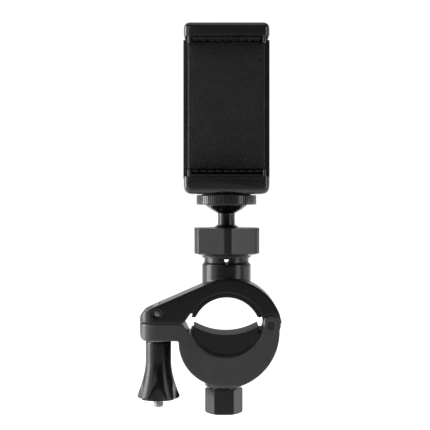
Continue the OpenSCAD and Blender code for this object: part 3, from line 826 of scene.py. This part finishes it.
def clipInside(floor, top):
    # The slider's rails, the ears that hold the springs' pins, and the stubs for the screws
    made = []
    face = clip["wall"] - inside["bury"]      # every piece starts a little inside the front wall
    pinAt = middleOf("body_spring_pins")[2]
    for side in (-1, 1):
        x, half = side * inside["rail"], inside["railHalf"]
        far = (x + half, inside["railFront"], top - inside["topGap"])
        made.append(box("rail", (x - half, face, floor), far, inside["edge"]))
        springAt = middleOf("spring_left" if side < 0 else "spring_right")[0]
        for edge in (-1, 1):
            x, half = springAt + edge * inside["ear"], inside["earHalf"]
            far = (x + half, inside["earBack"], pinAt + inside["earHigh"])
            made.append(box("ear", (x - half, face, floor), far, inside["edge"]))
        for z in (inside["screwLow"], inside["screwHigh"]):
            ring = rounded([
                (inside["stubHole"], face), (inside["stub"], face),
                (inside["stub"], clip["shellBack"]), (inside["stubHole"], clip["shellBack"]),
            ], inside["edge"], 2)
            made.append(turned("stub", ring, (side * inside["screw"], z), inside["around"], axis="y"))
    return made


def makeClipBody():
    low, high = ends("clip_body")
    near, far = ends("clip_slider")
    jawTop = low[2] + clip["jawHeight"]
    block = jawBlock("clipBody", (near[0], low[1], low[2]), (far[0], far[1], jawTop), False)
    shellFoot = (low[0], 0, jawTop - clip["lap"])
    shell = box("shell", shellFoot, (high[0], clip["shellBack"], high[2]), clip["skin"])
    hollow = box(
        "hollow", (low[0] + clip["wall"], clip["wall"], jawTop + clip["hollowUp"]),
        (high[0] - clip["wall"], clip["shellBack"] + clip["beyond"], high[2] + clip["beyond"]),
        clip["hollowEdge"],
    )
    combine(shell, [hollow], "DIFFERENCE")
    lips = jawLips(low[1], jawTop - clip["lap"], jawTop + clip["lipHigh"])
    whole = combine(block, [shell, *lips, *clipInside(jawTop + clip["insideUp"], high[2])])
    foot, roof = low[2] - clip["lap"], low[2] + clip["socketDeep"]
    bore = [(0, foot), (clip["socket"], foot), (clip["socket"], roof), (0, roof)]
    socket = turned("socket", bore, ballAxis, clip["around"])
    combine(whole, [socket], "DIFFERENCE")
    placed(whole, "clip", clipGloss, "clip_gloss", "clip_body")


slide = {"half": 13 * mm, "front": 3 * mm, "back": 7 * mm, "slotHalf": 3 * mm, "slotTop": 110 * mm,
         "root": 1.5 * mm, "corner": 0.8 * mm, "edge": 0.3 * mm}


def makeClipSlider():
    low, high = ends("clip_slider")
    jawLow = ends("upper_jaw_pad")[1][2]
    block = jawBlock("clipSlider", (low[0], low[1], jawLow), high, True)
    corners = [(-slide["half"], low[2])]
    for node in ("spring_left", "spring_right"):
        slotAt = middleOf(node)[0]
        near, far = slotAt - slide["slotHalf"], slotAt + slide["slotHalf"]
        corners += [(near, low[2]), (near, slide["slotTop"]), (far, slide["slotTop"]), (far, low[2])]
    top = jawLow + slide["root"]
    corners += [(slide["half"], low[2]), (slide["half"], top), (-slide["half"], top)]
    plate = slab("plate", corners, slide["corner"], slide["front"], slide["back"], slide["edge"], turns=4)
    lips = jawLips(low[1], jawLow - clip["lipHigh"], jawLow + clip["lap"])
    whole = combine(block, [plate, *lips])
    placed(whole, "slider", clipGloss, "clip_gloss", "clip_slider")


cover = {"edge": 0.55 * mm, "lowCorner": 0.5 * mm, "highCorner": 2.2 * mm, "fieldSide": 6.5 * mm,
         "fieldLow": 12 * mm, "fieldHigh": 11 * mm, "fieldRise": 0.35 * mm, "fieldCorner": 2.5 * mm,
         "fieldBury": 0.5 * mm, "fieldEdge": 0.3 * mm, "railFrom": 7.1 * mm, "railLow": 74 * mm,
         "hole": 1.3 * mm, "holeFrom": 9 * mm, "holeTo": 13 * mm}


def makeBackCover():
    low, high = ends("clip_back_cover")
    outline = rectangle(low[0], low[2], high[0], high[2])
    radii = [cover["lowCorner"]] * 2 + [cover["highCorner"]] * 2
    panel = slab("clipBackCover", outline, radii, clip["shellBack"], high[1], cover["edge"], steps=5)
    # A shallow raised field keeps the big flat face from looking blank
    outline = rectangle(
        low[0] + cover["fieldSide"], low[2] + cover["fieldLow"],
        high[0] - cover["fieldSide"], high[2] - cover["fieldHigh"],
    )
    back, face = high[1] - cover["fieldBury"], high[1] + cover["fieldRise"]
    field = slab("field", outline, cover["fieldCorner"], back, face, cover["fieldEdge"])
    added, holes = [field], []
    for side in (-1, 1):
        x, half = side * inside["rail"], inside["railHalf"]
        far = (x + half, clip["shellBack"] + cover["edge"], high[2] - inside["topGap"])
        added.append(box("backRail", (x - half, cover["railFrom"], cover["railLow"]), far, inside["edge"]))
        for z in (inside["screwLow"], inside["screwHigh"]):
            bore = rectangle(0, cover["holeFrom"], cover["hole"], cover["holeTo"])
            holes.append(turned("hole", bore, (side * inside["screw"], z), inside["around"], axis="y"))
    combine(combine(panel, added), holes, "DIFFERENCE")
    placed(panel, "clip", clipGloss, "clip_gloss", "clip_back_cover")


padding = {"crown": 0.35 * mm, "roll": 1.1 * mm, "rim": 0.35, "across": 90, "up": 140}


def makeFrontPad():
    # A crowned pad. Over the square of (s, t) from -1 to 1, its face stands before its back by
    # thick (rim + (1 - rim) sqrt(1 - q^2)) + crown (1 - s^4)(1 - t^4), where q falls from 1 at
    # the rim to 0 one roll inside it
    low, high = ends("front_pad")
    middle, half = middleOf("front_pad"), (high - low) / 2
    s = np.sin(np.linspace(-np.pi / 2, np.pi / 2, padding["across"]))
    t = np.sin(np.linspace(-np.pi / 2, np.pi / 2, padding["up"]))
    s, t = np.meshgrid(s, t)
    x, z = middle[0] + s * half[0], middle[2] + t * half[2]
    fromRim = np.minimum(half[0] * (1 - np.abs(s)), half[2] * (1 - np.abs(t)))
    q = np.clip(1 - fromRim / padding["roll"], 0, 1)
    thick = (high[1] - low[1]) * (padding["rim"] + (1 - padding["rim"]) * np.sqrt(1 - q**2))
    y = high[1] - thick - padding["crown"] * (1 - s**4) * (1 - t**4)
    face = np.stack([x, y, z], -1)
    backFace = np.stack([x, 0 * y + high[1], z], -1)
    rows, columns = s.shape
    rim = np.concatenate([
        np.arange(columns), np.arange(1, rows) * columns + columns - 1,
        (rows - 1) * columns + np.arange(columns - 2, -1, -1), np.arange(rows - 2, 0, -1) * columns,
    ])
    after = np.roll(rim, -1)
    total = rows * columns
    faces = gridFaces(rows, columns, False, False).tolist()
    faces += [row[::-1] for row in gridFaces(rows, columns, False, False, total).tolist()]
    faces += np.stack([rim, after, after + total, rim + total], -1).tolist()
    pad = addObject("frontPad", np.concatenate([face.reshape(-1, 3), backFace.reshape(-1, 3)]), faces, 60)
    placed(pad, "clip", paddingSkin, "grained_pad", "front_pad")


ribs = {"pitch": 3.5 * mm, "foot": 0.4, "blunt": 0.6, "edge": 0.2 * mm, "across": 280}


def makeJawPads():
    # Across the strip its height is the share foot + (1 - foot) |cos(pi x / pitch)|^blunt,
    # which is a hump to each rib
    for node, name, body, up in (
        ("lower_jaw_pad", "lowerJawPad", "clip", 1), ("upper_jaw_pad", "upperJawPad", "slider", -1),
    ):
        low, high = ends(node)
        seat = low[2] if up > 0 else high[2]
        x = np.linspace(low[0], high[0], ribs["across"])
        hump = np.abs(np.cos(np.pi * x / ribs["pitch"])) ** ribs["blunt"]
        share = ribs["foot"] + (1 - ribs["foot"]) * hump
        z = seat + up * (high[2] - low[2]) * share
        line = np.concatenate([np.stack([x, z], -1), [(high[0], seat), (low[0], seat)]])
        pad = slab(name, line, 0, low[1], high[1], ribs["edge"], turns=0, sharp=60)
        placed(pad, body, jawRubber, "jaw_rubber", node)


spring = {"coil": 1.75 * mm, "wire": 0.35 * mm, "hook": 1.25 * mm, "turns": 16, "perTurn": 24, "sides": 10,
          "gap": 3 * mm, "middle": 5 * mm}


def tube(name, path, radius, sides):
    # Point (i, j) is path point i plus radius (cos b u + sin b v) for b = 2 pi j / sides,
    # where u and v are square to the path; u is level, save where the path itself is nearly upright
    path = np.array(path, float)
    ahead = np.gradient(path, axis=0)
    ahead /= np.linalg.norm(ahead, axis=1)[:, None]
    level = np.cross(ahead, np.where(np.abs(ahead[:, 2:]) > 0.9, (1.0, 0.0, 0.0), (0.0, 0.0, 1.0)))
    level /= np.linalg.norm(level, axis=1)[:, None]
    upright = np.cross(ahead, level)
    b = np.linspace(0, 2 * np.pi, sides, endpoint=False)[None, :, None]
    points = path[:, None] + radius * (np.cos(b) * level[:, None] + np.sin(b) * upright[:, None])
    faces = gridFaces(len(path), sides, False, True).tolist()
    faces += [list(range(sides)), list(range((len(path) - 1) * sides, len(path) * sides))]
    return addObject(name, points, faces, 60)


def springHook(end, pin, side):
    # From the last coil across to the middle, then almost once round the pin
    b = np.linspace(0.5 * np.pi, 2.4 * np.pi, 40)
    loop = np.stack([0 * b, spring["hook"] * np.cos(b), pin + side * spring["hook"] * np.sin(b)], -1)
    stalk = np.array([
        (spring["coil"], 0, end), (spring["coil"] / 2, 0, end), (0, 0, end - side * spring["wire"]),
    ])
    return tube("hook", np.concatenate([stalk, loop]), spring["wire"], spring["sides"])


def makeSprings():
    # Close coils between two hooks, one on the clip's pin and one on the slider's. A coil's point is
    # (R cos a, R sin a, low + (high - low) t), with a = 2 pi turns t and t from 0 to 1
    lowPin = middleOf("body_spring_pins")[2]
    highPin = middleOf("slider_spring_pins")[2]
    low, high = lowPin + spring["gap"], highPin - spring["gap"]
    for node, name in (("spring_left", "springLeft"), ("spring_right", "springRight")):
        x = middleOf(node)[0]
        t = np.linspace(0, 1, spring["turns"] * spring["perTurn"] + 1)
        a = 2 * np.pi * spring["turns"] * t
        rise = low + (high - low) * t
        helix = np.stack([spring["coil"] * np.cos(a), spring["coil"] * np.sin(a), rise], -1)
        wire = tube(name, helix, spring["wire"], spring["sides"])
        hooks = [springHook(low, lowPin, 1), springHook(high, highPin, -1)]
        work = bmesh.new()
        for piece in (wire, *hooks):
            work.from_mesh(piece.data)
        bmesh.ops.translate(work, verts=work.verts, vec=(x, spring["middle"], 0))
        work.to_mesh(wire.data)
        work.free()
        for hook in hooks:
            bpy.data.objects.remove(hook)
        settle(wire, 60)
        wire.data.materials.append(brightSteel)
        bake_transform(wire)
        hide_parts(node)


# Small turned steel parts

steelParts = {"dome": 0.45 * mm, "washerHole": 2.55 * mm, "washerEdge": 0.2 * mm, "gap": 0.02 * mm,
              "pinAround": 48, "washerAround": 72}


def makePivotPin():
    # A round bar with domed ends: for t from 0 to a quarter turn its radius falls as R sqrt(cos t)
    # while the end rises by dome sin t
    low, high = ends("bolt_pivot_pin")
    radius = (high[0] - low[0]) / 2
    t = np.linspace(0, np.pi / 2, 8)
    r = radius * np.cos(t) ** 0.5
    rise = steelParts["dome"] * np.sin(t)
    top = np.stack([r, high[1] - steelParts["dome"] + rise], -1)
    bottom = np.stack([r, low[1] + steelParts["dome"] - rise], -1)[::-1]
    profile = np.concatenate([bottom, top])
    axis = middleOf("bolt_pivot_pin")[::2]
    pin = turned("boltPivotPin", profile, axis, steelParts["pinAround"], axis="y")
    placed(pin, "clamp_upper", pinSteel, "bright_steel", "bolt_pivot_pin")


def makeKnobWasher():
    low, high = ends("knob_washer")
    radius = (high[0] - low[0]) / 2
    section = rectangle(steelParts["washerHole"], low[2] + steelParts["gap"], radius, high[2])
    profile = rounded(section, steelParts["washerEdge"], 5)
    washer = turned("knobWasher", profile, middleOf("knob_washer")[:2], steelParts["washerAround"])
    placed(washer, "washer", pinSteel, "bright_steel", "knob_washer")


# Small parts that keep their CAD shape

keptFinishes = {
    "mounting_stud": brightSteel, "body_spring_pins": brightSteel, "slider_spring_pins": brightSteel,
    "hinge_pin": blackSteel, "cover_screws": blackSteel,
    "knob_insert": insertBrass, "post_thread_insert": insertBrass, "clip_thread_insert": insertBrass,
    "ball_retainer_ring": ringNylon,
}


def finishKeptNodes():
    for node, material in keptFinishes.items():
        nodes[node].data.materials.clear()
        nodes[node].data.materials.append(material)


makeCamera()
makeLights()
makeRoom()
makeFloor()
print("studio ready")
makeArms()
makeClampRubber()
makePost()
print("clamp ready")
makeBolt()
makePivotPin()
makeKnobWasher()
makeKnob()
print("bolt and knob ready")
makeNut()
makeBallStem()
makeDisc()
makeDiscWasher()
print("ball joint ready")
makeClipBody()
makeClipSlider()
makeBackCover()
makeFrontPad()
makeJawPads()
makeSprings()
print("clip ready")
finishKeptNodes()

bpy.context.scene.view_settings.view_transform = "Standard"
bpy.context.view_layer.update()
